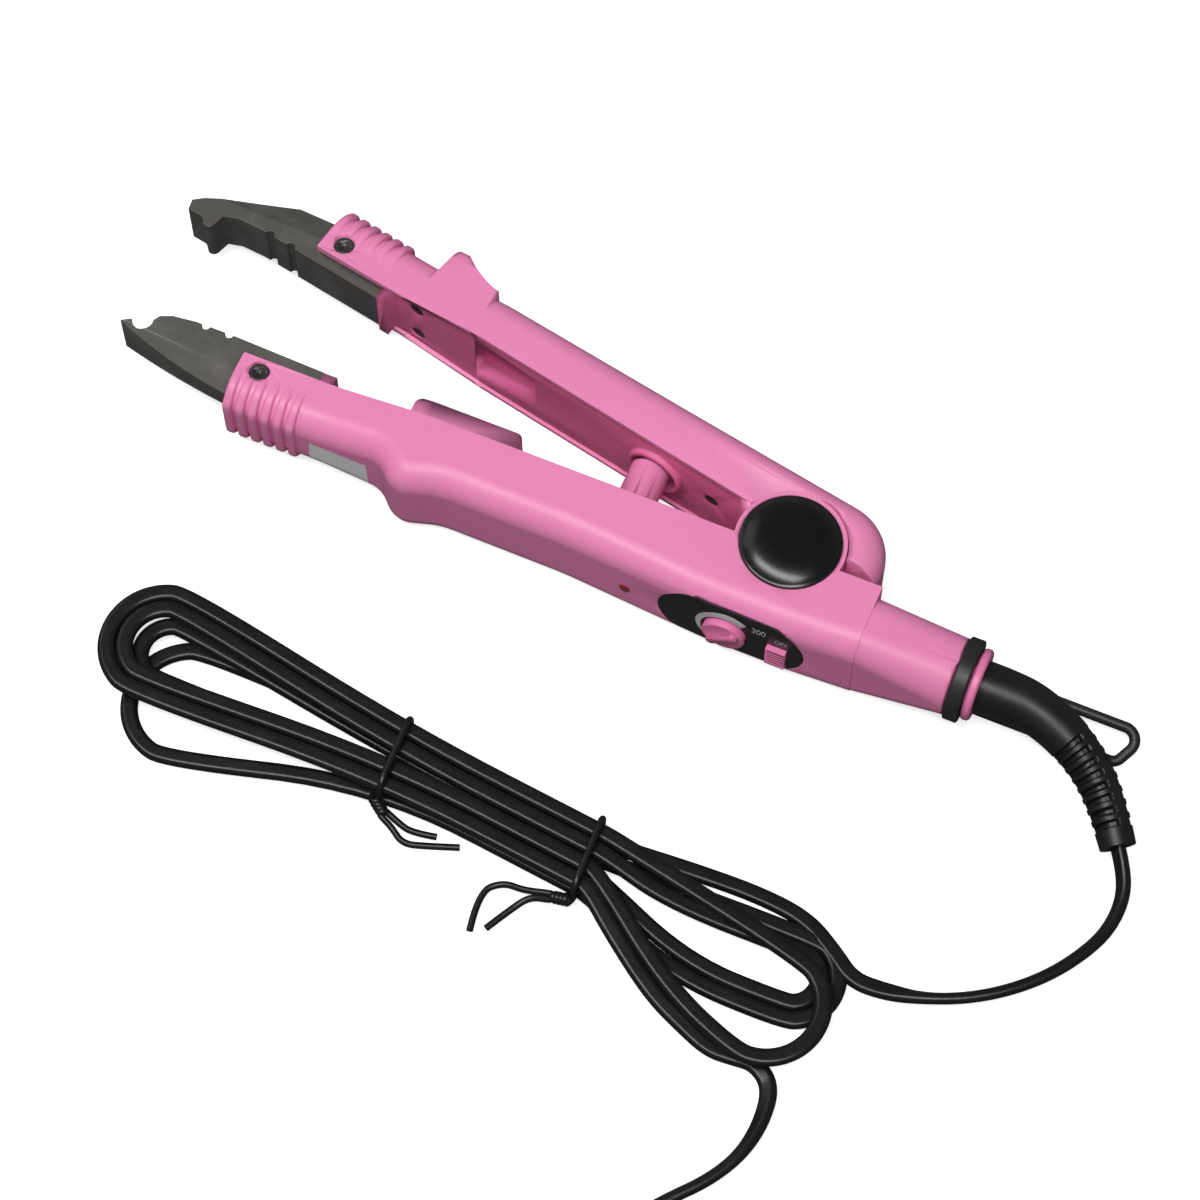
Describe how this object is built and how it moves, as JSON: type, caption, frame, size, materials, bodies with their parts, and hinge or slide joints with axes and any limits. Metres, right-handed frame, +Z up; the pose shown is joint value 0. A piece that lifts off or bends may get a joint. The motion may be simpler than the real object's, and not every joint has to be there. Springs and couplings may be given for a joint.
{
  "type": "hair extension iron",
  "caption": "Corded hair extension iron: two hinged arms with profiled heated jaws, heat dial, on-off slide switch, hanging loop and a mains lead folded in a tied hank.",
  "frame": {"origin": "on the axis of the arms' hinge, at the underside of the hinge where the iron rests on the table", "axes": "+X along the lower arm from the hinge toward the cord, +Y from the lower arm toward the upper arm, +Z up, along the hinge axis"},
  "size_m": [0.2846, 0.2432, 0.0285],
  "materials": {
    "shell_pink": "satin moulded shell",
    "cover_pink": "satin, deeper tone",
    "trim_pink": "satin",
    "gloss_black": "polished",
    "satin_black": "satin",
    "jaw_coating": "dark coating on cast metal, fine grain",
    "holder_black": "heat-proof moulding",
    "screw_steel": "zinc plated",
    "bright_steel": "drawn wire and turned steel",
    "lead_silicone": "silicone insulation",
    "board_green": "solder mask",
    "lens_red": "clear red, unlit",
    "lamp_clear": "clear",
    "guard_rubber": "moulded",
    "cord_black": "smooth jacket",
    "tie_black": "coated wire",
    "pin_nickel": "nickel plated"
  },
  "bodies": {
    "lower_arm": {"lower_shell": "shell_pink", "lower_inner_cover": "shell_pink", "lower_cover_screws": "screw_steel", "lower_jaw": "jaw_coating", "lower_jaw_insulator": "holder_black", "lower_heater": "bright_steel", "lower_jaw_screw": "screw_steel", "lower_leads": "lead_silicone", "pivot_pin": "bright_steel", "hinge_cap_top": "gloss_black", "hinge_cap_bottom": "gloss_black", "return_spring": "bright_steel", "control_panel": "satin_black", "temperature_control": "satin_black", "switch_body": "satin_black", "pilot_lens": "lens_red", "pilot_lamp": "lamp_clear", "circuit_board": "board_green", "supply_leads": "lead_silicone", "rear_neck": "shell_pink", "end_flange": "trim_pink", "strain_relief": "guard_rubber", "cord_free_run": "cord_black", "cord_hank": "cord_black", "cord_tail": "cord_black", "tie_left": "tie_black", "tie_right": "tie_black", "plug_body": "satin_black", "plug_blades": "pin_nickel"},
    "upper_arm": {"upper_shell": "shell_pink", "upper_inner_cover": "cover_pink", "upper_cover_screws": "screw_steel", "upper_jaw": "jaw_coating", "upper_jaw_insulator": "holder_black", "upper_heater": "bright_steel", "upper_jaw_screw": "screw_steel", "upper_leads": "lead_silicone"},
    "dial": {"temperature_dial": "trim_pink", "dial_shaft": "bright_steel"},
    "switch": {"switch_slider": "trim_pink"},
    "loop": {"hanging_loop": "satin_black"}
  },
  "joints": [
    {"name": "arm_hinge", "type": "hinge", "parent": "lower_arm", "child": "upper_arm", "pos_m": [0, 0, 0.013], "axis": [0, 0, 1], "range_deg": [0, 11], "stiffness_Nm_per_rad": 1.5, "springref_deg": -14.32},
    {"name": "dial_turn", "type": "hinge", "parent": "lower_arm", "child": "dial", "pos_m": [-0.0075, -0.0215, 0.013], "axis": [0, -1, 0], "range_deg": [-210, 60]},
    {"name": "switch_slide", "type": "slide", "parent": "lower_arm", "child": "switch", "axis": [0, 0, -1], "range_m": [0, 0.0025]},
    {"name": "loop_swivel", "type": "hinge", "parent": "lower_arm", "child": "loop", "pos_m": [0.0485, -0.0111, 0.013], "axis": [1, 0, 0], "range_deg": [0, 95]}
  ]
}
